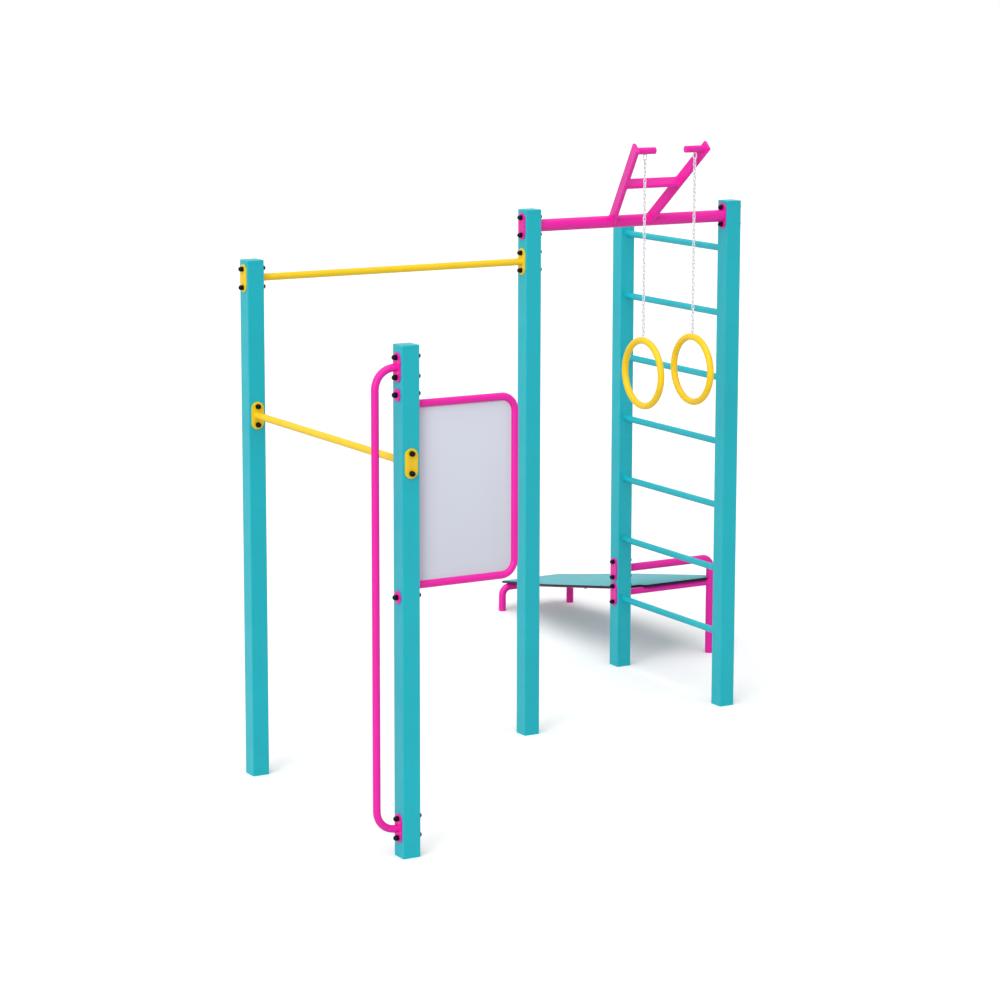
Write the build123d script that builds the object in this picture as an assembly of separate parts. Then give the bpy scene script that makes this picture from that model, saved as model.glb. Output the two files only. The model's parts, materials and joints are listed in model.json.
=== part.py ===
from build123d import *
from math import asin, atan2, cos, hypot, pi, radians, sin, sqrt
import os

os.makedirs("parts", exist_ok=True)

# An outdoor fitness station: five square posts joined by pull-up bars, a beam, a ladder,
# a stretching pole, an information panel, a pair of chain-hung rings and a sit-up bench.
# Millimetres. The origin is the centre post's foot, X runs along the long line of posts,
# Y away from the panel side and Z up.

# Setting out, from post centre to post centre
left_span = 1498
front_span = 1498
right_span = 1177
ladder_span = 989

# Square posts
post_side = 84
post_wall = 3
post_corner = 4
post_cap_head = 15
post_cap_spigot = 9
post_cap_edge = 3
post_cap_fit = 0.25
foot_plate = 6

# Bars, beam and rungs
bar_tube = 33.7
bar_wall = 2.6
high_bar_height = 2373
low_bar_height = 1732
beam_tube = 60.3
beam_wall = 2.9
rung_count = 7
rung_pitch = 333
first_rung_height = 376

# Bolting plates and their through bolts
plate_width = 62
plate_length = 130
plate_thickness = 5
beam_plate_gap = 42
pole_plate_gap = 24
bench_plate_gap = 6
bolt_spacing = 86
bolt_diameter = 12
bolt_hole = 13
bolt_across_flats = 18
bolt_head = 7.5
nut_height = 10
nut_fit = 0.1
bolt_tail = 3
cover_diameter = 24
cover_straight = 10
cover_bore = 21.6
cover_bore_depth = 10.5
cover_depth = 14

# Stretching pole on the front post
pole_reach = 108
pole_bend = 90
pole_foot_height = 130

# Information panel on the front post
panel_reach = 490
panel_top_height = 1979
panel_foot_height = 1194
panel_bend = 65
panel_sheet = 4
panel_fit = 0.2
lug_width = 50
lug_reach = 44
disc_diameter = 57

# Horn frame on the beam, with its two grips
horn_centre = 580
horn_width = 60
horn_depth = 20
horn_wall = 2
horn_lean = 43.55
horn_length = 512
horn_foot_spread = 215.6
horn_top_spread = 404
horn_overhang = 24
horn_plate = 3
crossbar_share = 0.54
grip_gap = 176

# Chain eyes, chains and rings
eye_spread = 288
eye_drop = 47.3
eye_wire = 6
eye_width = 24
eye_sink = 3
link_wire = 5
link_pitch = 18.5
link_gap = 0.25
link_inner_width = 7
link_count = 46
link_corners = 4
link_sides = 6
seat_sides = 8
fold_link = 22
ring_diameter = 321.5
ring_tube = 33
ring_room = 5

# Sit-up bench behind the ladder
frame_tube = 42.4
frame_wall = 2.6
cross_tube_height = 402
leg_reach = 587
leg_bend = 50
hoop_reach = 1481
hoop_height = 142
hoop_spread = 470
hoop_bend = 52
rail_tube = 26.9
rail_wall = 2.3
rail_spread = 236
board_centre = 353
board_thickness = 12
board_seat = 0.3
board_front_overhang = 35
board_back_overhang = 71
tongue_width = 410
tongue_length = 65
tongue_corner = 18
shoulder_length = 26
shoulder_corner = 14
board_width = 606
board_straight = 660
board_tail_width = 420
board_tail_corner = 40
taper_start_share = 0.45
taper_end_share = 0.65
screw_diameter = 8
screw_fit = 0.2
screw_grip = 9
screw_head_diameter = 16
screw_head = 5
screw_end_gap = 1
screw_shares = (0.1, 0.5, 0.9)

# How far each post stands above the highest thing it carries
left_post_rise = 85
front_post_rise = 96
centre_post_rise = 82
rear_post_rise = 46
right_post_rise = 77

# How far a cutting tool runs past what it cuts
overrun = 1

up = Vector(0, 0, 1)
leftward = Vector(-1, 0, 0)
rightward = Vector(1, 0, 0)
forward = Vector(0, -1, 0)
rearward = Vector(0, 1, 0)
plate_face = post_side / 2 + plate_thickness

# Heights that keep two plates on one post clear of each other
lug_end = disc_diameter / 2
beam_height = high_bar_height + plate_length + beam_plate_gap
pole_top_height = panel_top_height + lug_reach + lug_end + pole_plate_gap + plate_length / 2
back_tube_height = cross_tube_height + plate_length + bench_plate_gap
top_rung_height = first_rung_height + (rung_count - 1) * rung_pitch

# Each post's foot and height
posts = {
    "left_post": (Vector(-left_span, 0, 0), high_bar_height + left_post_rise),
    "front_post": (Vector(-left_span, -front_span, 0), pole_top_height + front_post_rise),
    "centre_post": (Vector(0, 0, 0), beam_height + centre_post_rise),
    "rear_post": (Vector(right_span, ladder_span, 0), top_rung_height + rear_post_rise),
    "right_post": (Vector(right_span, 0, 0), beam_height + right_post_rise),
}
left_foot = posts["left_post"][0]
front_foot = posts["front_post"][0]
centre_foot = posts["centre_post"][0]
rear_foot = posts["rear_post"][0]
right_foot = posts["right_post"][0]

# Each bar end: its post, the way its welded plate faces, and its height
bar_ends = {
    "high_bar": [
        ("left_post", rightward, high_bar_height),
        ("centre_post", leftward, high_bar_height),
    ],
    "low_bar": [
        ("left_post", forward, low_bar_height),
        ("front_post", rearward, low_bar_height),
    ],
    "beam": [
        ("centre_post", rightward, beam_height),
        ("right_post", leftward, beam_height),
    ],
    "pole": [
        ("front_post", leftward, pole_top_height),
        ("front_post", leftward, pole_foot_height),
    ],
    "bench": [
        ("rear_post", rightward, back_tube_height),
        ("rear_post", rightward, cross_tube_height),
    ],
}
lug_heights = (panel_foot_height - lug_reach, panel_top_height + lug_reach)


def face_plane(name, way, height):
    # On a post's face, with Z pointing out of the post and Y up
    foot = posts[name][0]
    origin = foot + up * height + way * (post_side / 2)
    return Plane(origin=origin, x_dir=up.cross(way), z_dir=way)


def bolt_planes():
    # One plane for each through bolt, on the face under its head
    planes = {name: [] for name in posts}
    for ends in bar_ends.values():
        for name, way, height in ends:
            planes[name].append(face_plane(name, way, height - bolt_spacing / 2))
            planes[name].append(face_plane(name, way, height + bolt_spacing / 2))
    for height in lug_heights:
        planes["front_post"].append(face_plane("front_post", rightward, height))
    return planes


bolts = bolt_planes()


def drill(plane, diameter, depth):
    tool = Cylinder(diameter / 2, depth + 2 * overrun, align=(Align.CENTER, Align.CENTER, Align.MAX))
    return plane.offset(overrun).location * tool


def straight_tube(start, end, diameter, wall):
    line = end - start
    section = Circle(diameter / 2) - Circle(diameter / 2 - wall)
    return extrude(Plane(origin=start, z_dir=line) * section, line.length)


def straight_bar(start, end, diameter):
    line = end - start
    return extrude(Plane(origin=start, z_dir=line) * Circle(diameter / 2), line.length)


def bent_tube(corners, bend, diameter, wall):
    path = FilletPolyline(*corners, radius=bend)
    start = Plane(origin=path @ 0, z_dir=path % 0)
    skin = sweep(start * Circle(diameter / 2), path)
    bore = sweep(start * Circle(diameter / 2 - wall), path)
    return skin - bore


def write(name, *solids):
    shape = solids[0] if len(solids) == 1 else Compound(list(solids))
    export_step(shape, f"parts/{name}.step")


# Posts, their caps and the plates that close every foot


def post(name):
    foot, height = posts[name]
    outside = RectangleRounded(post_side, post_side, post_corner)
    clear = post_side - 2 * post_wall
    section = outside - RectangleRounded(clear, clear, post_corner - post_wall)
    tube = extrude(section, height - post_cap_head - foot_plate)
    tube = Pos(foot.X, foot.Y, foot_plate) * tube
    for plane in bolts[name]:
        tube -= drill(plane, bolt_hole, post_side)
    return tube


def post_cap(name):
    foot, height = posts[name]
    head = extrude(RectangleRounded(post_side, post_side, post_corner), post_cap_head)
    head = fillet(head.faces().sort_by(Axis.Z)[-1].edges(), post_cap_edge)
    side = post_side - 2 * post_wall - 2 * post_cap_fit
    corner = post_corner - post_wall - post_cap_fit
    spigot = extrude(RectangleRounded(side, side, corner), -post_cap_spigot)
    return Pos(foot.X, foot.Y, height - post_cap_head) * (head + spigot)


def post_foot(name):
    foot = posts[name][0]
    plate = extrude(RectangleRounded(post_side, post_side, post_corner), foot_plate)
    return Pos(foot.X, foot.Y, 0) * plate


# Bolting plates: a welded one at the bar's end and a loose one on the post's far side


def bolting_plate():
    plate = extrude(SlotOverall(plate_length, plate_width, rotation=90), plate_thickness)
    for side in (-1, 1):
        hole = Plane(origin=(0, side * bolt_spacing / 2, plate_thickness))
        plate -= drill(hole, bolt_hole, plate_thickness)
    return plate


def plate_pairs(ends):
    plate = bolting_plate()
    planes = []
    for name, way, height in ends:
        planes.append(face_plane(name, way, height))
        planes.append(face_plane(name, way * -1, height))
    return [plane.location * plate for plane in planes]


def hexagon(height):
    return extrude(RegularPolygon(bolt_across_flats / 2, 6, major_radius=False), height)


def through_bolt():
    # Head outside the plate that the bolt's plane carries, shank back through the post
    shank_length = post_side + 2 * plate_thickness + nut_height + bolt_tail
    shank = extrude(Circle(bolt_diameter / 2), -shank_length)
    return Pos(0, 0, plate_thickness) * (hexagon(bolt_head) + shank)


def bolt_nut():
    nut = hexagon(nut_height) - extrude(Circle(bolt_diameter / 2 + nut_fit), nut_height)
    return Pos(0, 0, -post_side - plate_thickness - nut_height) * nut


def bolt_cover():
    dome = Cylinder(cover_diameter / 2, cover_straight, align=(Align.CENTER, Align.CENTER, Align.MIN))
    crown = Sphere(cover_diameter / 2, arc_size1=0, align=(Align.CENTER, Align.CENTER, Align.MIN))
    dome += Pos(0, 0, cover_straight) * crown
    dome -= extrude(Circle(cover_bore / 2), cover_bore_depth)
    return dome - extrude(Circle(bolt_hole / 2), cover_depth)


def place_bolts():
    screws, nuts, covers = [], [], []
    screw, nut, cover = through_bolt(), bolt_nut(), bolt_cover()
    over_head = Pos(0, 0, plate_thickness)
    over_nut = Pos(0, 0, -post_side - plate_thickness) * Rot(180, 0, 0)
    for planes in bolts.values():
        for plane in planes:
            screws.append(plane.location * screw)
            nuts.append(plane.location * nut)
            covers.append(plane.location * over_head * cover)
            covers.append(plane.location * over_nut * cover)
    return screws, nuts, covers


for name in posts:
    write(name, post(name))
write("post_caps", *[post_cap(name) for name in posts])
write("post_foot_plates", *[post_foot(name) for name in posts])
for name, ends in bar_ends.items():
    write(f"{name}_plates", *plate_pairs(ends))
screws, nuts, covers = place_bolts()
write("through_bolts", *screws)
write("bolt_nuts", *nuts)
write("bolt_covers", *covers)


# Pull-up bars, beam and ladder rungs


def post_bar(start_foot, end_foot, height, stand_off, diameter, wall):
    way = (end_foot - start_foot).normalized()
    start = start_foot + up * height + way * stand_off
    end = end_foot + up * height - way * stand_off
    return straight_tube(start, end, diameter, wall)


write("high_bar", post_bar(left_foot, centre_foot, high_bar_height, plate_face, bar_tube, bar_wall))
write("low_bar", post_bar(left_foot, front_foot, low_bar_height, plate_face, bar_tube, bar_wall))
write("beam", post_bar(centre_foot, right_foot, beam_height, plate_face, beam_tube, beam_wall))
for number in range(rung_count):
    height = first_rung_height + number * rung_pitch
    rung = post_bar(right_foot, rear_foot, height, post_side / 2, bar_tube, bar_wall)
    write(f"ladder_rung_{number + 1}", rung)


# Stretching pole


def stretching_pole():
    root = front_foot + leftward * plate_face
    out = front_foot + leftward * (post_side / 2 + pole_reach)
    top = up * pole_top_height
    low = up * pole_foot_height
    return bent_tube([root + low, out + low, out + top, root + top], pole_bend, bar_tube, bar_wall)


write("stretching_pole", stretching_pole())


# Information panel: bent frame, sheet, lug bar on the post and its two counter discs


def panel_frame():
    root = front_foot + rightward * plate_face
    out = front_foot + rightward * (post_side / 2 + panel_reach)
    top = up * panel_top_height
    low = up * panel_foot_height
    return bent_tube([root + low, out + low, out + top, root + top], panel_bend, bar_tube, bar_wall)


def panel_board():
    inset = bar_tube / 2 + panel_fit
    near = front_foot.X + plate_face + panel_fit
    far = front_foot.X + post_side / 2 + panel_reach - inset
    low = panel_foot_height + inset
    high = panel_top_height - inset
    upright = Plane(origin=(0, front_foot.Y, 0), x_dir=(1, 0, 0), z_dir=(0, -1, 0))
    sheet = Pos((near + far) / 2, (low + high) / 2) * Rectangle(far - near, high - low)
    sheet = fillet(sheet.vertices().sort_by(Axis.X)[-2:], panel_bend - inset)
    return extrude(upright * sheet, panel_sheet / 2, both=True)


def lug_bar():
    middle = (lug_heights[0] + lug_heights[1]) / 2
    length = lug_heights[1] - lug_heights[0] + 2 * lug_end
    plane = face_plane("front_post", rightward, middle)
    bar = extrude(plane * SlotOverall(length, lug_width, rotation=90), plate_thickness)
    for height in lug_heights:
        hole = face_plane("front_post", rightward, height).offset(plate_thickness)
        bar -= drill(hole, bolt_hole, plate_thickness)
    return bar


def lug_disc(height):
    plane = face_plane("front_post", leftward, height)
    return extrude(plane * (Circle(disc_diameter / 2) - Circle(bolt_hole / 2)), plate_thickness)


write("panel_frame", panel_frame())
write("panel_board", panel_board())
write("panel_lug_bar", lug_bar())
write("panel_discs", *[lug_disc(height) for height in lug_heights])


# Horn frame: two splayed flat-oval arms on the beam, a cross bar between them and two grips

lean = radians(horn_lean)
horn_up = Vector(0, -sin(lean), cos(lean))
horn_normal = Vector(0, cos(lean), sin(lean))
horn_foot = Vector(horn_centre, 0, beam_height)
grip_axis = horn_foot + horn_up * horn_length


def arm_line(side):
    foot = horn_foot + rightward * (side * horn_foot_spread / 2)
    top = grip_axis + rightward * (side * horn_top_spread / 2)
    return foot, top


def oval_bar(start, end, wall=0):
    line = end - start
    plane = Plane(origin=start, x_dir=horn_normal, z_dir=line)
    section = SlotOverall(horn_width, horn_depth)
    if wall:
        section -= SlotOverall(horn_width - 2 * wall, horn_depth - 2 * wall)
    return extrude(plane * section, line.length)


def arm_top(side, share):
    # Where the arm ends above the grip's axis, less a share of its end plate
    foot, top = arm_line(side)
    way = (top - foot).normalized()
    return top + way * (horn_overhang - horn_plate * share)


def horn_arm(side):
    foot = arm_line(side)[0]
    arm = oval_bar(foot, arm_top(side, 1), horn_wall)
    beam = straight_bar(centre_foot + up * beam_height, right_foot + up * beam_height, beam_tube)
    return arm - beam


def arm_outside(side):
    return oval_bar(arm_line(side)[0], arm_top(side, 0))


def horn_crossbar():
    ends = []
    for side in (-1, 1):
        foot, top = arm_line(side)
        ends.append(foot + (top - foot) * crossbar_share)
    return oval_bar(*ends, horn_wall) - arm_outside(-1) - arm_outside(1)


def grip(side):
    root = arm_line(side)[1]
    tip = grip_axis + rightward * (side * (grip_gap / 2 + horn_plate))
    return straight_tube(root, tip, bar_tube, bar_wall) - arm_outside(side)


def grip_plate(side):
    tip = grip_axis + rightward * (side * grip_gap / 2)
    return straight_bar(tip, tip + rightward * (side * horn_plate), bar_tube)


write("horn_left_arm", horn_arm(-1))
write("horn_right_arm", horn_arm(1))
write("horn_crossbar", horn_crossbar())
write("left_grip", grip(-1))
write("right_grip", grip(1))
arm_plates = [oval_bar(arm_top(side, 1), arm_top(side, 0)) for side in (-1, 1)]
write("horn_end_plates", *arm_plates, grip_plate(-1), grip_plate(1))


# Chains: eyes under the grips, short links that hang through one another, rings with staples

link_length = link_pitch + link_gap
eye_axis = grip_axis - up * eye_drop
first_link = eye_axis.Z + eye_wire / 2 + link_gap - link_length / 2
last_link = first_link - (link_count - 1) * link_pitch
ring_top = last_link - link_length / 2 - link_wire - ring_room
ring_centre = ring_top - ring_diameter / 2 - ring_tube / 2


def chain_foot(side):
    return eye_axis + rightward * (side * eye_spread / 2)


def chain_eye(side):
    # An oval eye whose upper bow is let into the grip's underside and welded there
    half = (eye_width - eye_wire) / 2
    crown = eye_drop - (bar_tube + eye_wire) / 2 + eye_sink
    shoulder = crown - half
    left_leg = Line((-half, 0, shoulder), (-half, 0, half))
    bow = ThreePointArc((-half, 0, half), (0, 0, 0), (half, 0, half))
    right_leg = Line((half, 0, half), (half, 0, shoulder))
    head = ThreePointArc((half, 0, shoulder), (0, 0, crown), (-half, 0, shoulder))
    path = Wire([*left_leg.edges(), *bow.edges(), *right_leg.edges(), *head.edges()])
    start = Plane(origin=left_leg @ 0, z_dir=left_leg % 0)
    eye = Pos(*chain_foot(side)) * sweep(start * Circle(eye_wire / 2), path)
    return eye - straight_bar(*grip_ends(side), bar_tube)


def grip_ends(side):
    return arm_line(side)[1], grip_axis + rightward * (side * grip_gap / 2)


def link(sides):
    # A link with flat facets, standing in the XZ plane, its flats facing in and out
    reach = (link_inner_width + link_wire) / 2
    middle = (link_length + link_wire) / 2 - reach
    turn = pi / link_corners
    miter = 1 / cos(turn / 2)
    corner_radius = link_wire / 2 / cos(pi / sides)
    section = [2 * pi * (number + 0.5) / sides for number in range(sides)]
    stations = []
    for step in range(2 * link_corners):
        angle = turn * (step + 0.5)
        end = middle if step < link_corners else -middle
        out = Vector(cos(angle), 0, sin(angle)) * miter
        spot = up * end + out * reach
        points = [
            spot + out * (corner_radius * cos(a)) + rearward * (corner_radius * sin(a))
            for a in section
        ]
        stations.append(points)
    faces = []
    for here, there in zip(stations, stations[1:] + stations[:1]):
        for a in range(sides):
            b = (a + 1) % sides
            faces.append(Face(Wire.make_polygon([here[a], here[b], there[b], there[a]])))
    return Solid(Shell(faces))


plain_link = link(link_sides)
seat_link = link(seat_sides)


def place_link(side, number):
    # Odd links stand in the YZ plane and even ones in the XZ plane
    foot = chain_foot(side)
    shape = seat_link if number in (1, fold_link, link_count) else plain_link
    height = first_link - (number - 1) * link_pitch
    return Pos(foot.X, foot.Y, height) * Rot(0, 0, 90 * (number % 2)) * shape


def hanging_ring(side):
    foot = chain_foot(side)
    return Pos(foot.X, foot.Y, ring_centre) * Rot(0, 90, 0) * Torus(ring_diameter / 2, ring_tube / 2)


def ring_staple(side):
    # The part of a link that stands out of the ring's top, welded on, and hangs from the last link
    foot = chain_foot(side)
    height = last_link - link_length + link_gap
    return Pos(foot.X, foot.Y, height) * Rot(0, 0, 90) * seat_link - hanging_ring(side)


for side, word in ((-1, "left"), (1, "right")):
    write(f"{word}_chain_eye", chain_eye(side))
    write(f"{word}_top_link", place_link(side, 1))
    upper = [place_link(side, number) for number in range(2, fold_link + 1)]
    lower = [place_link(side, number) for number in range(fold_link + 1, link_count + 1)]
    write(f"{word}_upper_chain", *upper)
    write(f"{word}_lower_chain", *lower)
    write(f"{word}_ring", hanging_ring(side))
    write(f"{word}_ring_staple", ring_staple(side))


# Sit-up bench: back tube bent down into a leg, cross tube, low hoop, two rails and the board

leg_foot = rear_foot + rightward * leg_reach
bench_foot = rear_foot + rightward * board_centre
hoop_feet = [
    bench_foot + rearward * hoop_reach + rightward * (side * hoop_spread / 2) for side in (-1, 1)
]
cross_axis = bench_foot + up * cross_tube_height
hoop_axis = bench_foot + rearward * hoop_reach + up * hoop_height
between = hypot(hoop_reach, cross_tube_height - hoop_height)
radius_step = (bar_tube - frame_tube) / 2
tilt = atan2(cross_tube_height - hoop_height, hoop_reach) + asin(radius_step / between)
board_up = Vector(0, sin(tilt), cos(tilt))
board_run = sqrt(between**2 - radius_step**2)
board_plane = Plane(
    origin=cross_axis + board_up * (bar_tube / 2 + board_seat), x_dir=rightward, z_dir=board_up
)


def back_tube():
    root = rear_foot + rightward * plate_face + up * back_tube_height
    corners = [root, leg_foot + up * back_tube_height, leg_foot + up * foot_plate]
    return bent_tube(corners, leg_bend, frame_tube, frame_wall)


def cross_tube():
    root = rear_foot + rightward * plate_face + up * cross_tube_height
    tube = straight_tube(root, leg_foot + up * cross_tube_height, bar_tube, bar_wall)
    return tube - straight_bar(leg_foot, leg_foot + up * back_tube_height, frame_tube)


def hoop():
    left, right = hoop_feet
    sole = up * foot_plate
    crown = up * hoop_height
    corners = [left + sole, left + crown, right + crown, right + sole]
    return bent_tube(corners, hoop_bend, frame_tube, frame_wall)


def across(axis, diameter):
    # A solid bar across the bench, for coping the rails
    half = rightward * (hoop_spread / 2)
    return straight_bar(axis - half, axis + half, diameter)


def screw_places(side):
    return [(side * rail_spread / 2, board_run * share) for share in screw_shares]


def rail(side):
    depth = -board_seat - rail_tube / 2
    start = board_plane.from_local_coords(Vector(side * rail_spread / 2, 0, depth))
    end = board_plane.from_local_coords(Vector(side * rail_spread / 2, board_run, depth))
    tube = straight_tube(start, end, rail_tube, rail_wall)
    for x, y in screw_places(side):
        spot = Plane(board_plane.location * Pos(x, y, -board_seat))
        tube -= drill(spot, screw_diameter + 2 * screw_fit, rail_tube)
    return tube - across(cross_axis, bar_tube) - across(hoop_axis, frame_tube)


def board_outline():
    near = -board_front_overhang
    step = near + tongue_length
    shoulder = step + shoulder_length
    straight_end = shoulder + board_straight
    far = board_run + board_back_overhang
    taper = board_run - straight_end
    tongue, wide, tail = tongue_width / 2, board_width / 2, board_tail_width / 2
    front = FilletPolyline(
        (0, near),
        (tongue, near),
        (tongue, step),
        (wide, shoulder),
        (wide, straight_end),
        radius=[tongue_corner, shoulder_corner, shoulder_corner],
    )
    side = Bezier(
        (wide, straight_end),
        (wide, straight_end + taper * taper_start_share),
        (tail, straight_end + taper * taper_end_share),
        (tail, board_run),
    )
    back = FilletPolyline((tail, board_run), (tail, far), (0, far), radius=board_tail_corner)
    half = make_face([*front.edges(), *side.edges(), *back.edges(), Edge.make_line((0, far), (0, near))])
    return half + mirror(half, Plane.YZ)


def bench_board():
    board = extrude(board_plane * board_outline(), board_thickness)
    for side in (-1, 1):
        for x, y in screw_places(side):
            hole = extrude(Circle(screw_diameter / 2 + screw_fit), screw_grip)
            board -= board_plane.location * Pos(x, y, 0) * hole
    return board


def board_screw():
    # From below, through the rail and into the board
    head = Cylinder(screw_head_diameter / 2, screw_head, align=(Align.CENTER, Align.CENTER, Align.MAX))
    shank_length = rail_tube + board_seat + screw_grip - screw_end_gap
    shank = extrude(Circle(screw_diameter / 2), shank_length)
    return Pos(0, 0, -board_seat - rail_tube) * (head + shank)


def leg_plate(foot):
    return Pos(foot.X, foot.Y, 0) * extrude(Circle(frame_tube / 2), foot_plate)


write("bench_back_tube", back_tube())
write("bench_cross_tube", cross_tube())
write("bench_hoop", hoop())
write("bench_left_rail", rail(-1))
write("bench_right_rail", rail(1))
write("bench_board", bench_board())
board_screws = [
    board_plane.location * Pos(x, y, 0) * board_screw()
    for side in (-1, 1)
    for x, y in screw_places(side)
]
write("board_screws", *board_screws)
write("leg_foot_plates", *[leg_plate(foot) for foot in (leg_foot, *hoop_feet)])
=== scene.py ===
import json
import math

import bmesh
import bpy
from mathutils import Matrix, Vector
from mathutils.bvhtree import BVHTree

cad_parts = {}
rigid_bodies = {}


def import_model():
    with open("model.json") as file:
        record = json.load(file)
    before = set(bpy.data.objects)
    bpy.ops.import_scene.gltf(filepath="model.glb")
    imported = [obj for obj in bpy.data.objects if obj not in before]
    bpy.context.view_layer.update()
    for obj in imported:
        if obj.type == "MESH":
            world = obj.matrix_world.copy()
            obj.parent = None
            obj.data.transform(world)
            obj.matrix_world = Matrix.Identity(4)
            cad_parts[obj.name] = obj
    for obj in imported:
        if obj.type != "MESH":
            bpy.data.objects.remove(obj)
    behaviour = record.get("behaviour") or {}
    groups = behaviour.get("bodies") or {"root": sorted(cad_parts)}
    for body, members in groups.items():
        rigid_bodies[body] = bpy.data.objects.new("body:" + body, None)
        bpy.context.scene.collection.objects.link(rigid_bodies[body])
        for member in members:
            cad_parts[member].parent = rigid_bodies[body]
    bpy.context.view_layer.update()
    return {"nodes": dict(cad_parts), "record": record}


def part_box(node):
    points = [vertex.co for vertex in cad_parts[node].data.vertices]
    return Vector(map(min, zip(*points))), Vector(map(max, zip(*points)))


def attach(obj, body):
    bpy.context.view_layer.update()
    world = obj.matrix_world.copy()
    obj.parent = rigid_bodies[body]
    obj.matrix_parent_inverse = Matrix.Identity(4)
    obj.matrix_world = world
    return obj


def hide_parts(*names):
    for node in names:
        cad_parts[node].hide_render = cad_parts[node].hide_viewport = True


for old in list(bpy.data.objects):  # the start-up cube, lamp and camera
    bpy.data.objects.remove(old, do_unlink=True)

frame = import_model()
nodes = frame["nodes"]
slotOf = {part["node"]: part["material_slot"] for part in frame["record"]["subparts"]}
bodyOf = {}
for body, members in frame["record"]["behaviour"]["bodies"].items():
    for member in members:
        bodyOf[member] = body
print("frame loaded:", len(nodes), "nodes")

mm = 0.001
upwards = Vector((0, 0, 1))


# Camera, at the photograph's angle

cameraSetup = {
    "place": (-7.44633, -12.47937, 3.90007),  # metres
    "yaw": 29.484,  # from +Y towards +X
    "pitch": -9.400,
    "sensor": 36,
    "lens": 107.563,
    "shiftX": 0.0401,
    "shiftY": -0.0614,
    "sight": 400,  # metres
}


def addCamera(setup):
    data = bpy.data.cameras.new("camera")
    data.sensor_width = setup["sensor"]
    data.lens = setup["lens"]
    data.shift_x = setup["shiftX"]
    data.shift_y = setup["shiftY"]
    data.clip_end = setup["sight"]
    camera = bpy.data.objects.new("camera", data)
    camera.location = setup["place"]
    camera.rotation_euler = (math.radians(90 + setup["pitch"]), 0, math.radians(-setup["yaw"]))
    bpy.context.collection.objects.link(camera)
    bpy.context.scene.camera = camera


addCamera(cameraSetup)
bpy.context.scene.view_settings.view_transform = "Standard"


# Shader helpers


def linear(colour, share=1.0):
    # A screen colour as light values, by the sRGB curve, made darker or lighter by a share
    out = []
    for value in colour:
        part = value / 255
        light = part / 12.92 if part <= 0.04045 else ((part + 0.055) / 1.055) ** 2.4
        out.append(min(1, light * share))
    return out


def grey(value):
    return (value, value, value)


def newMaterial(name):
    material = bpy.data.materials.new(name)
    material.use_nodes = True
    tree = material.node_tree
    return material, tree, tree.nodes["Principled BSDF"]


def addPlace(tree, stretch=None):
    # Where a point lies on the piece, stretched for a pattern that runs one way
    place = tree.nodes.new("ShaderNodeTexCoord").outputs["Object"]
    if stretch:
        mapping = tree.nodes.new("ShaderNodeMapping")
        mapping.inputs["Scale"].default_value = stretch
        tree.links.new(place, mapping.inputs["Vector"])
        place = mapping.outputs["Vector"]
    return place


def addNoise(tree, look):
    noise = tree.nodes.new("ShaderNodeTexNoise")
    for socket, key in (("Scale", "scale"), ("Detail", "detail"), ("Roughness", "harshness")):
        if key in look:
            noise.inputs[socket].default_value = look[key]
    tree.links.new(addPlace(tree, look.get("stretch")), noise.inputs["Vector"])
    return noise.outputs["Fac"]


def fade(tree, pattern, ends, values, socket):
    # The socket goes from the first value to the second between two levels of the pattern
    ramp = tree.nodes.new("ShaderNodeValToRGB")
    for element, level, value in zip(ramp.color_ramp.elements, ends, values):
        element.position = level
        element.color = (*value, 1)
    tree.links.new(pattern, ramp.inputs[0])
    tree.links.new(ramp.outputs["Color"], socket)


def addClouds(tree, shader, colour, look):
    shades = [linear(colour, share) for share in look["shares"]]
    fade(tree, addNoise(tree, look), look["ends"], shades, shader.inputs["Base Color"])


def addWear(tree, shader, look):
    levels = [grey(value) for value in (look["gloss"], look["dull"])]
    fade(tree, addNoise(tree, look), look["ends"], levels, shader.inputs["Roughness"])


def addGrain(tree, shader, look):
    bump = tree.nodes.new("ShaderNodeBump")
    bump.inputs["Distance"].default_value = look["depth"] * mm
    bump.inputs["Strength"].default_value = look["strength"]
    tree.links.new(addNoise(tree, look), bump.inputs["Height"])
    tree.links.new(bump.outputs["Normal"], shader.inputs["Normal"])


# Light and floor

studio = {
    "sky": 0.5,  # strength of the light from all round
    "backdrop": 1,  # what the camera and glossy surfaces see in its place
    "floorAlbedo": 0.62,
    "floorGlow": 0.05,  # only to the camera, so that the floor is white outside the shadows
    "floorSize": 120,  # metres
}
suns = {
    "overhead": {"strength": 1.75, "angle": 70, "travel": (0.3, 0.3, -1)},
    "key": {"strength": 1.1, "angle": 30, "travel": (0.74, 0.5, -0.3)},
}
white = (1, 1, 1, 1)


def addSeen(tree):
    # 1 for rays that come from the camera or off a glossy or clear surface, else 0
    path = tree.nodes.new("ShaderNodeLightPath")
    seen = path.outputs["Is Camera Ray"]
    for other in ("Is Glossy Ray", "Is Transmission Ray"):
        either = tree.nodes.new("ShaderNodeMath")
        either.operation = "MAXIMUM"
        tree.links.new(seen, either.inputs[0])
        tree.links.new(path.outputs[other], either.inputs[1])
        seen = either.outputs[0]
    return seen


def addBackground(tree, strength):
    background = tree.nodes.new("ShaderNodeBackground")
    background.inputs["Color"].default_value = white
    background.inputs["Strength"].default_value = strength
    return background.outputs[0]


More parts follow.
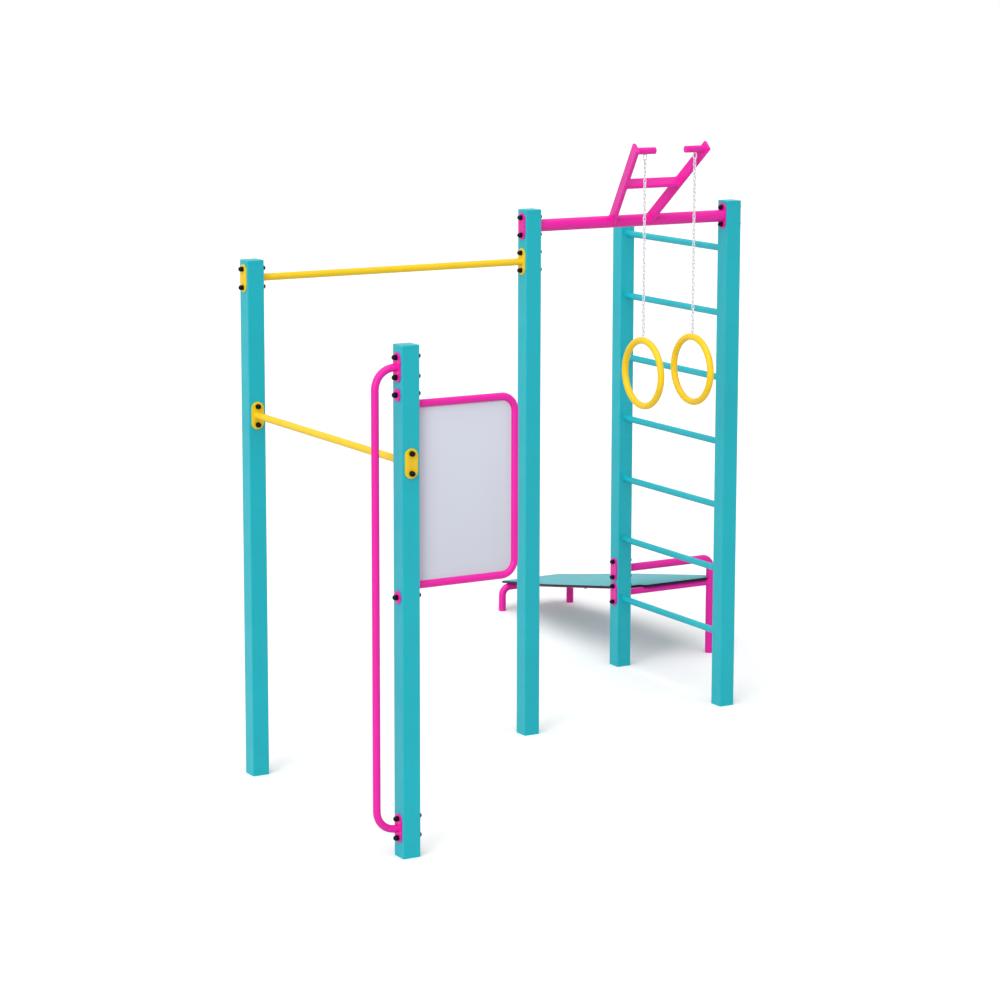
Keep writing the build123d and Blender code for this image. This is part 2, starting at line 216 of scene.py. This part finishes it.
def addWorld(setup):
    world = bpy.data.worlds.new("studio")
    bpy.context.scene.world = world
    world.use_nodes = True
    tree = world.node_tree
    tree.nodes.clear()
    output = tree.nodes.new("ShaderNodeOutputWorld")
    mix = tree.nodes.new("ShaderNodeMixShader")
    tree.links.new(addSeen(tree), mix.inputs[0])
    tree.links.new(addBackground(tree, setup["sky"]), mix.inputs[1])
    tree.links.new(addBackground(tree, setup["backdrop"]), mix.inputs[2])
    tree.links.new(mix.outputs[0], output.inputs["Surface"])


def addSun(name, setup):
    data = bpy.data.lights.new(name, "SUN")
    data.energy = setup["strength"]
    data.angle = math.radians(setup["angle"])
    lamp = bpy.data.objects.new(name, data)
    lamp.rotation_euler = Vector(setup["travel"]).to_track_quat("-Z", "Y").to_euler()
    bpy.context.collection.objects.link(lamp)


def floorPaint(setup):
    # Matt, and whiter in the picture than in the light that it throws back
    material, tree, shader = newMaterial("paleFloor")
    shader.inputs["Roughness"].default_value = 1
    shader.inputs["Specular IOR Level"].default_value = 0
    shader.inputs["Emission Color"].default_value = white
    seen = addSeen(tree)
    fade(tree, seen, (0, 1), (grey(setup["floorAlbedo"]), grey(1)), shader.inputs["Base Color"])
    glow = tree.nodes.new("ShaderNodeMath")
    glow.operation = "MULTIPLY"
    glow.inputs[1].default_value = setup["floorGlow"]
    tree.links.new(seen, glow.inputs[0])
    tree.links.new(glow.outputs[0], shader.inputs["Emission Strength"])
    return material


def addFloor(setup):
    bm = bmesh.new()
    bmesh.ops.create_grid(bm, x_segments=1, y_segments=1, size=setup["floorSize"])
    mesh = bpy.data.meshes.new("floor")
    bm.to_mesh(mesh)
    bm.free()
    mesh.materials.append(floorPaint(setup))
    floor = bpy.data.objects.new("floor", mesh)
    bpy.context.collection.objects.link(floor)


addWorld(studio)
for name, setup in suns.items():
    addSun(name, setup)
addFloor(studio)
print("studio ready")


# Finishes. A pattern's scale is in repeats per metre, and it fades between its two ends.


def coated(name, colour, look):
    # Paint or plastic: clouded colour, wandering gloss and a fine skin
    material, tree, shader = newMaterial(name)
    addClouds(tree, shader, colour, look["clouds"])
    addWear(tree, shader, look["wear"])
    addGrain(tree, shader, look["skin"])
    shader.inputs["Specular IOR Level"].default_value = look["specular"]
    return material


powderCoat = {  # thick polyester powder with orange peel and duller rubbed patches
    "clouds": {"scale": 4, "detail": 4, "ends": (0.3, 0.7), "shares": (0.965, 1.035)},
    "wear": {"scale": 9, "detail": 6, "harshness": 0.6, "ends": (0.35, 0.75),
             "gloss": 0.38, "dull": 0.52},
    "skin": {"scale": 650, "detail": 2, "depth": 0.12, "strength": 0.35},
    "specular": 0.4,
}
ringPlastic = {  # moulded, with flow marks, smoothed by hands
    "clouds": {"scale": 12, "detail": 3, "ends": (0.3, 0.75), "shares": (0.94, 1.05)},
    "wear": {"scale": 25, "detail": 5, "ends": (0.3, 0.8), "gloss": 0.3, "dull": 0.45},
    "skin": {"scale": 500, "detail": 2, "depth": 0.1, "strength": 0.4},
    "specular": 0.35,
}
capPlastic = {
    "clouds": {"scale": 30, "detail": 3, "ends": (0.3, 0.75), "shares": (0.94, 1.05)},
    "wear": {"scale": 60, "detail": 5, "ends": (0.3, 0.8), "gloss": 0.26, "dull": 0.42},
    "skin": {"scale": 1500, "detail": 2, "depth": 0.05, "strength": 0.4},
    "specular": 0.12,
}
laminate = {  # fine speckle, a hammered skin and long faint scuffs
    "clouds": {"scale": 600, "detail": 3, "ends": (0.35, 0.65), "shares": (0.95, 1.04)},
    "wear": {"scale": 6, "detail": 6, "harshness": 0.65, "stretch": (14, 1.2, 1.2),
             "ends": (0.4, 0.7), "gloss": 0.5, "dull": 0.65},
    "skin": {"scale": 450, "detail": 2, "depth": 0.15, "strength": 0.4},
    "specular": 0.12,
}
sheetCoat = {  # a matt coat over rolled sheet
    "clouds": {"scale": 5, "detail": 4, "stretch": (1, 1, 0.15), "ends": (0.35, 0.65),
               "shares": (0.985, 1.01)},
    "wear": {"scale": 700, "detail": 2, "ends": (0.3, 0.7), "gloss": 0.42, "dull": 0.55},
    "skin": {"scale": 700, "detail": 2, "depth": 0.1, "strength": 0.3},
    "specular": 0.3,
}
zinc = {  # small spangles in value and gloss
    "spangleScale": 400,
    "spangleEnds": (0.2, 0.8),
    "shades": ((201, 203, 209), (231, 233, 238)),
    "wear": {"scale": 700, "detail": 4, "ends": (0.3, 0.7), "gloss": 0.32, "dull": 0.46},
    "skin": {"scale": 700, "detail": 4, "depth": 0.1, "strength": 0.3},
    "metallic": 0.4,
}


def galvanised(name, look):
    material, tree, shader = newMaterial(name)
    spangle = tree.nodes.new("ShaderNodeTexVoronoi")
    spangle.inputs["Scale"].default_value = look["spangleScale"]
    tree.links.new(addPlace(tree), spangle.inputs["Vector"])
    shades = [linear(shade) for shade in look["shades"]]
    fade(tree, spangle.outputs["Color"], look["spangleEnds"], shades, shader.inputs["Base Color"])
    addWear(tree, shader, look["wear"])
    addGrain(tree, shader, look["skin"])
    shader.inputs["Metallic"].default_value = look["metallic"]
    return material


finishOf = {
    "teal_paint": coated("tealPaint", (3, 178, 192), powderCoat),
    "pink_paint": coated("pinkPaint", (232, 14, 162), powderCoat),
    "yellow_paint": coated("yellowPaint", (243, 202, 14), powderCoat),
    "yellow_ring": coated("yellowRing", (247, 203, 14), ringPlastic),
    "galvanised_steel": galvanised("zincSteel", zinc),
    "black_cover": coated("blackCover", (4, 4, 6), capPlastic),
    "panel_grey": coated("panelGrey", (211, 215, 227), sheetCoat),
    "board_laminate": coated("boardFace", (98, 181, 190), laminate),
}
boardCore = coated("boardCore", (26, 26, 28), capPlastic)
for name, node in nodes.items():
    node.data.materials.clear()
    node.data.materials.append(finishOf[slotOf[name]])
print("materials ready")


# Shared modelling helpers

modelling = {
    "joinGap": 0.004,  # between corners of a frame node's loose triangles that are one corner
    "flatAngle": 1,  # faces that meet at less are one face
    "roundAngle": 50,  # edges that turn by more are rounded off
    "crispAngle": 40,  # edges that turn by more look crisp
}


def mergedCopy(name):
    # A frame node's mesh with its loose triangles joined up
    bm = bmesh.new()
    bm.from_mesh(nodes[name].data)
    bmesh.ops.remove_doubles(bm, verts=bm.verts, dist=modelling["joinGap"] * mm)
    return bm


def flatCopy(name):
    # The same with its flat faces made whole
    bm = mergedCopy(name)
    bmesh.ops.dissolve_limit(bm, angle_limit=math.radians(modelling["flatAngle"]), verts=bm.verts,
                             edges=bm.edges)
    return bm


def sharpEdges(bm):
    limit = math.radians(modelling["roundAngle"])
    return [e for e in bm.edges if len(e.link_faces) == 2 and e.calc_face_angle() > limit]


def roundOff(bm, edges, radius, segments):
    bmesh.ops.bevel(bm, geom=edges, offset=radius * mm, offset_type="OFFSET", segments=segments,
                    profile=0.5, affect="EDGES", clamp_overlap=True, material=-1)


def asMesh(bm, name):
    bmesh.ops.recalc_face_normals(bm, faces=bm.faces)
    mesh = bpy.data.meshes.new(name)
    bm.to_mesh(mesh)
    bm.free()
    return mesh


def addCopy(bm, pattern, turn, place):
    # A copy of the pattern in the piece, turned and then moved
    before = len(bm.verts)
    bm.from_mesh(pattern)
    bm.verts.ensure_lookup_table()
    fresh = bm.verts[before:]
    bmesh.ops.rotate(bm, verts=fresh, cent=(0, 0, 0), matrix=turn)
    bmesh.ops.translate(bm, verts=fresh, vec=place)


def finishPiece(name, bm, materials, body, crispAngle=modelling["crispAngle"]):
    mesh = bpy.data.meshes.new(name)
    bm.normal_update()
    bm.to_mesh(mesh)
    bm.free()
    for material in materials:
        mesh.materials.append(material)
    mesh.shade_smooth()
    mesh.set_sharp_from_angle(angle=math.radians(crispAngle))
    piece = bpy.data.objects.new(name, mesh)
    bpy.context.collection.objects.link(piece)
    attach(piece, body)
    return piece


def dressNode(name, bm, materials=None):
    # The piece takes the frame node's place, and its body and finish
    slotName = slotOf[name]
    piece = finishPiece(name + "_dressed", bm, materials or [finishOf[slotName]], bodyOf[name])
    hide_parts(name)


# Rounded edges on plates, discs, caps and closing plates

rounding = {
    "steps": 3,
    "radii": {
        "high_bar_plates": 1.6, "low_bar_plates": 1.6, "beam_plates": 1.6, "pole_plates": 1.6,
        "bench_plates": 1.6, "panel_lug_bar": 1.2, "panel_discs": 1.4, "horn_end_plates": 0.8,
        "post_caps": 0.8, "panel_board": 0.6,
    },
}


def roundEdges(name, radius, steps):
    bm = flatCopy(name)
    roundOff(bm, sharpEdges(bm), radius, steps)
    dressNode(name, bm)


for name, radius in rounding["radii"].items():
    roundEdges(name, radius, rounding["steps"])
print("plates rounded")


# Bench board: coloured faces over a dark core, with eased edges

boardEdge = {
    "ease": 1.6,
    "steps": 2,
    "broad": 0.97,  # least cosine between the board's broad side and a face that counts to it
}


def dressBoard(setup):
    bm = flatCopy("bench_board")
    facing = max(bm.faces, key=lambda face: face.calc_area()).normal.copy()

    def isBroad(face):
        return abs(face.normal.dot(facing)) > setup["broad"]

    rim = [edge for edge in sharpEdges(bm) if any(isBroad(face) for face in edge.link_faces)]
    roundOff(bm, rim, setup["ease"], setup["steps"])
    for face in bm.faces:
        face.material_index = 0 if isBroad(face) else 1
    dressNode("bench_board", bm, [finishOf["board_laminate"], boardCore])


dressBoard(boardEdge)
print("board dressed")


# Chains and ring staples: smooth bent wire in the frame's places

chainWire = {
    "sides": 10,
    "bowSteps": 8,
    "weldSwell": 0.12,  # share by which a link's weld is thicker than its wire
    "weldLength": 2.4,
    "joinGap": 0.01,
    "cutGap": 0.001,
}
unturned = Matrix.Identity(3)
quarterTurn = Matrix.Rotation(math.pi / 2, 3, "Z")


def wireRound(bm, wire, place, setup):
    ring = bmesh.ops.create_circle(bm, segments=setup["sides"], radius=wire / 2)
    bmesh.ops.translate(bm, verts=ring["verts"], vec=place)
    return list(bm.edges)


def straightRun(bm, edges, rise):
    run = bmesh.ops.extrude_edge_only(bm, edges=edges)
    moved = [v for v in run["geom"] if isinstance(v, bmesh.types.BMVert)]
    bmesh.ops.translate(bm, verts=moved, vec=(0, 0, rise))
    return [e for e in run["geom"] if isinstance(e, bmesh.types.BMEdge)
            and all(v in moved for v in e.verts)]


def halfBow(bm, edges, height, steps):
    spun = bmesh.ops.spin(bm, geom=edges, cent=(0, 0, height), axis=(0, -1, 0), angle=math.pi,
                          steps=steps)
    return [e for e in spun["geom_last"] if isinstance(e, bmesh.types.BMEdge)]


def swellWeld(bm, reach, setup):
    # The bump where the wire's ends were welded, half way down one side
    half = setup["weldLength"] * mm / 2
    for height in (-half, 0, half):
        whole = [*bm.verts, *bm.edges, *bm.faces]
        bmesh.ops.bisect_plane(bm, geom=whole, plane_co=(0, 0, height), plane_no=upwards,
                               dist=setup["cutGap"] * mm)
    middle = [v for v in bm.verts if v.co.x < 0 and abs(v.co.z) < setup["joinGap"] * mm]
    grow = 1 + setup["weldSwell"]
    bmesh.ops.scale(bm, verts=middle, vec=(grow, grow, 1), space=Matrix.Translation((reach, 0, 0)))


def linkPattern(length, width, wire, setup):
    # A link standing in the XZ plane, centred on the origin
    reach = (width - wire) / 2
    bend = (length - wire) / 2 - reach
    bm = bmesh.new()
    edges = wireRound(bm, wire, (reach, 0, -bend), setup)
    for turn in (1, -1):
        edges = straightRun(bm, edges, 2 * bend * turn)
        edges = halfBow(bm, edges, bend * turn, setup["bowSteps"])
    bmesh.ops.remove_doubles(bm, verts=bm.verts, dist=setup["joinGap"] * mm)
    swellWeld(bm, reach, setup)
    return asMesh(bm, "linkPattern")


def dressChain(side, length, pitch, pattern):
    # Every second link is turned, from the top link down
    low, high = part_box(side + "_top_link")
    first = (low + high) / 2
    number = 0
    for run in ("top_link", "upper_chain", "lower_chain"):
        low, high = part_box(side + "_" + run)
        bm = bmesh.new()
        for _ in range(round((high.z - low.z - length) / pitch) + 1):
            turn = quarterTurn if number % 2 == 0 else unturned
            addCopy(bm, pattern, turn, (first.x, first.y, first.z - number * pitch))
            number += 1
        dressNode(side + "_" + run, bm)


def dressStaple(side, wire, setup):
    # The bow on the ring, across the chain's plane, with both legs down to the ring's skin
    low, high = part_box(side + "_ring_staple")
    reach = (high.y - low.y - wire) / 2
    bend = high.z - wire / 2 - reach
    bm = bmesh.new()
    edges = wireRound(bm, wire, (reach, 0, low.z), setup)
    edges = straightRun(bm, edges, bend - low.z)
    edges = halfBow(bm, edges, bend, setup["bowSteps"])
    straightRun(bm, edges, low.z - bend)
    bmesh.ops.holes_fill(bm, edges=[e for e in bm.edges if e.is_boundary])
    bmesh.ops.recalc_face_normals(bm, faces=bm.faces)
    bmesh.ops.rotate(bm, verts=bm.verts, matrix=quarterTurn)
    bmesh.ops.translate(bm, verts=bm.verts, vec=((low.x + high.x) / 2, (low.y + high.y) / 2, 0))
    dressNode(side + "_ring_staple", bm)


def dressChains(setup):
    low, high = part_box("left_top_link")  # a link that lies in the YZ plane
    length, width, wire = high.z - low.z, high.y - low.y, high.x - low.x
    pitch = high.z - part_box("left_upper_chain")[1].z
    pattern = linkPattern(length, width, wire, setup)
    for side in ("left", "right"):
        dressChain(side, length, pitch, pattern)
    for side in ("left", "right"):
        dressStaple(side, wire, setup)


dressChains(chainWire)
print("chains laid")


# Bolt caps: a base flange, a straight wall and a domed lid with a parting groove

boltCap = {
    "flange": 12.3,  # radius
    "flangeHeight": 1.4,
    "footEase": 0.4,
    "flangeEase": 0.5,
    "wall": 11.9,  # radius
    "grooveHeight": 9.6,
    "grooveDepth": 0.4,
    "grooveFloor": (0.2, 0.5),  # above the groove's lower edge
    "lidLift": 0.4,  # the dome's edge above the same
    "height": 22.0,
    "domeSteps": 8,
    "steps": 32,
    "joinGap": 0.02,
    "endGap": 0.05,  # corners this close to a frame cap's end belong to it
}


def capOutline(setup):
    # Radii and heights from the middle of the foot to the top of the dome
    flange, wall, groove = setup["flange"], setup["wall"], setup["grooveHeight"]
    outline = [(0, 0), (flange - setup["footEase"], 0), (flange, setup["footEase"]),
               (flange, setup["flangeHeight"] - setup["flangeEase"]),
               (flange - setup["flangeEase"], setup["flangeHeight"]),
               (wall, setup["flangeHeight"]), (wall, groove)]
    for rise in setup["grooveFloor"]:
        outline.append((wall - setup["grooveDepth"], groove + rise))
    shoulder = groove + setup["lidLift"]
    for step in range(setup["domeSteps"] + 1):
        angle = math.pi / 2 * step / setup["domeSteps"]
        rise = (setup["height"] - shoulder) * math.sin(angle)
        outline.append((wall * math.cos(angle), shoulder + rise))
    return outline


def capPattern(setup):
    # The outline spun round the cap's own axis, which is Z
    bm = bmesh.new()
    line = [bm.verts.new((x * mm, 0, z * mm)) for x, z in capOutline(setup)]
    edges = [bm.edges.new(pair) for pair in zip(line, line[1:])]
    bmesh.ops.spin(bm, geom=line + edges, cent=(0, 0, 0), axis=(0, 0, 1), angle=2 * math.pi,
                   steps=setup["steps"], use_merge=True)
    bmesh.ops.remove_doubles(bm, verts=bm.verts, dist=setup["joinGap"] * mm)
    return asMesh(bm, "capPattern")


def islands(bm):
    # Groups of joined-up vertices
    grouped = set()
    groups = []
    for start in bm.verts:
        if start in grouped:
            continue
        grouped.add(start)
        group = [start]
        for vert in group:  # the list grows while it is read
            for edge in vert.link_edges:
                other = edge.other_vert(vert)
                if other not in grouped:
                    grouped.add(other)
                    group.append(other)
        groups.append(group)
    return groups


def capSeat(group, gap):
    # Where a frame cap sits and which way it points: it sits on its wider end
    low = Vector([min(v.co[i] for v in group) for i in range(3)])
    high = Vector([max(v.co[i] for v in group) for i in range(3)])
    middle = (low + high) / 2
    along = min(range(3), key=lambda i: high[i] - low[i])
    widths = []
    for level in (low[along], high[along]):
        end = [v.co for v in group if abs(v.co[along] - level) < gap]
        widths.append(max((spot - middle).length for spot in end))
    sitsLow = widths[0] > widths[1]
    seat, way = middle.copy(), Vector()
    seat[along] = low[along] if sitsLow else high[along]
    way[along] = 1 if sitsLow else -1
    return seat, way


def dressCaps(setup):
    pattern = capPattern(setup)
    source = mergedCopy("bolt_covers")
    groups = islands(source)
    bm = bmesh.new()
    for group in groups:
        seat, way = capSeat(group, setup["endGap"] * mm)
        addCopy(bm, pattern, upwards.rotation_difference(way).to_matrix(), seat)
    source.free()
    dressNode("bolt_covers", bm)
    print("bolt caps:", len(groups))


dressCaps(boltCap)


# Weld beads along every seam between a tube and what it is welded to

bead = {
    "radius": 2.4,
    "fineRadius": 1.1,  # on the chain's wire
    "roundness": 1,  # bevel resolution of the bead's section
    "ripple": 0.16,  # share by which the bead swells and shrinks on its way
    "rippleLength": 2.6,
    "step": 0.9,
    "fewestPoints": 24,
    "near": 1,  # a tube's face this near the other piece is seated on it
    "fewestEdges": 6,  # in a loop that is a seam
    "sameEnd": 8,  # loops whose centres are closer go round one end
    "crispAngle": 70,
}
rungs = [name for name in nodes if name.startswith("ladder_rung_")]
seams = {  # the finish, the bead's size, and each tube with what it is welded to
    "yellow_welds": ("yellow_paint", "radius", [
        ("high_bar", "high_bar_plates"), ("low_bar", "low_bar_plates")]),
    "teal_welds": ("teal_paint", "radius", [
        (rung, post) for rung in rungs for post in ("right_post", "rear_post")]),
    "pink_welds": ("pink_paint", "radius", [
        ("beam", "beam_plates"), ("stretching_pole", "pole_plates"),
        ("panel_frame", "panel_lug_bar"), ("bench_back_tube", "bench_plates"),
        ("bench_cross_tube", "bench_plates"), ("bench_cross_tube", "bench_back_tube"),
        ("horn_left_arm", "beam"), ("horn_right_arm", "beam"),
        ("horn_crossbar", "horn_left_arm"), ("horn_crossbar", "horn_right_arm"),
        ("left_grip", "horn_left_arm"), ("right_grip", "horn_right_arm"),
        ("bench_left_rail", "bench_cross_tube"), ("bench_right_rail", "bench_cross_tube"),
        ("bench_left_rail", "bench_hoop"), ("bench_right_rail", "bench_hoop")]),
    "eye_welds": ("galvanised_steel", "fineRadius", [
        ("left_chain_eye", "left_grip"), ("right_chain_eye", "right_grip")]),
    "left_staple_welds": ("galvanised_steel", "fineRadius", [("left_ring_staple", "left_ring")]),
    "right_staple_welds": ("galvanised_steel", "fineRadius", [("right_ring_staple", "right_ring")]),
}


def seatEdges(bm, carrier, near):
    # The edges round the faces of a tube's end that lie on the piece which carries it
    other = mergedCopy(carrier)
    tree = BVHTree.FromBMesh(other)

    def touches(spot):
        return tree.find_nearest(spot)[3] < near

    seated = set()
    for face in bm.faces:
        if touches(face.calc_center_median()) and all(touches(v.co) for v in face.verts):
            seated.add(face)
    other.free()
    return [e for e in bm.edges if sum(face in seated for face in e.link_faces) == 1]


def closedLoops(left, fewest):
    # The points of each closed loop that the edges make
    loops = []
    while left:
        edge = left.pop()
        chain = list(edge.verts)
        while edge:
            edge = next((e for e in chain[-1].link_edges if e in left), None)
            if edge:
                left.remove(edge)
                chain.append(edge.other_vert(chain[-1]))
        if chain[0] == chain[-1] and len(chain) > fewest:
            loops.append([v.co.copy() for v in chain[:-1]])
    return loops


def loopLength(points):
    return sum((a - b).length for a, b in zip(points, points[1:] + points[:1]))


def outerLoops(loops, gap):
    # Of the loops round one end, the outside one
    kept = []
    for points in sorted(loops, key=loopLength, reverse=True):
        centre = sum(points, Vector()) / len(points)
        if all((centre - other).length > gap for _, other in kept):
            kept.append((points, centre))
    return [points for points, _ in kept]


def seamLoops(name, carrier, setup):
    bm = mergedCopy(name)
    loops = closedLoops(seatEdges(bm, carrier, setup["near"] * mm), setup["fewestEdges"])
    bm.free()
    return outerLoops(loops, setup["sameEnd"] * mm)


def evenPoints(points, setup):
    # The loop again, in steps of one length
    total = loopLength(points)
    count = max(setup["fewestPoints"], round(total / (setup["step"] * mm)))
    out = []
    walked, target = 0.0, 0.0
    for a, b in zip(points, points[1:] + points[:1]):
        length = (b - a).length
        while target < walked + length and len(out) < count:
            out.append(a.lerp(b, (target - walked) / length))
            target += total / count
        walked += length
    return out


def beadMesh(points, radius, setup):
    curve = bpy.data.curves.new("beadLine", "CURVE")
    curve.dimensions = "3D"
    curve.bevel_depth = radius * mm
    curve.bevel_resolution = setup["roundness"]
    even = evenPoints(points, setup)
    spline = curve.splines.new("POLY")
    spline.points.add(len(even) - 1)
    ripples = round(loopLength(even) / (setup["rippleLength"] * mm))
    for number, (point, place) in enumerate(zip(spline.points, even)):
        point.co = (*place, 1)
        wave = math.sin(math.pi * ripples * number / len(even))
        point.radius = 1 - setup["ripple"] + 2 * setup["ripple"] * abs(wave)
    spline.use_cyclic_u = True
    holder = bpy.data.objects.new("beadLine", curve)
    mesh = bpy.data.meshes.new_from_object(holder)
    bpy.data.objects.remove(holder)
    bpy.data.curves.remove(curve)
    return mesh


def layBeads(name, slotName, radius, pairs):
    bm = bmesh.new()
    count = 0
    for tube, carrier in pairs:
        for points in seamLoops(tube, carrier, bead):
            mesh = beadMesh(points, radius, bead)
            bm.from_mesh(mesh)
            bpy.data.meshes.remove(mesh)
            count += 1
    bmesh.ops.recalc_face_normals(bm, faces=bm.faces)
    finishPiece(name, bm, [finishOf[slotName]], bodyOf[pairs[0][0]], bead["crispAngle"])
    print(name, count)


for name, (slotName, size, pairs) in seams.items():
    layBeads(name, slotName, bead[size], pairs)
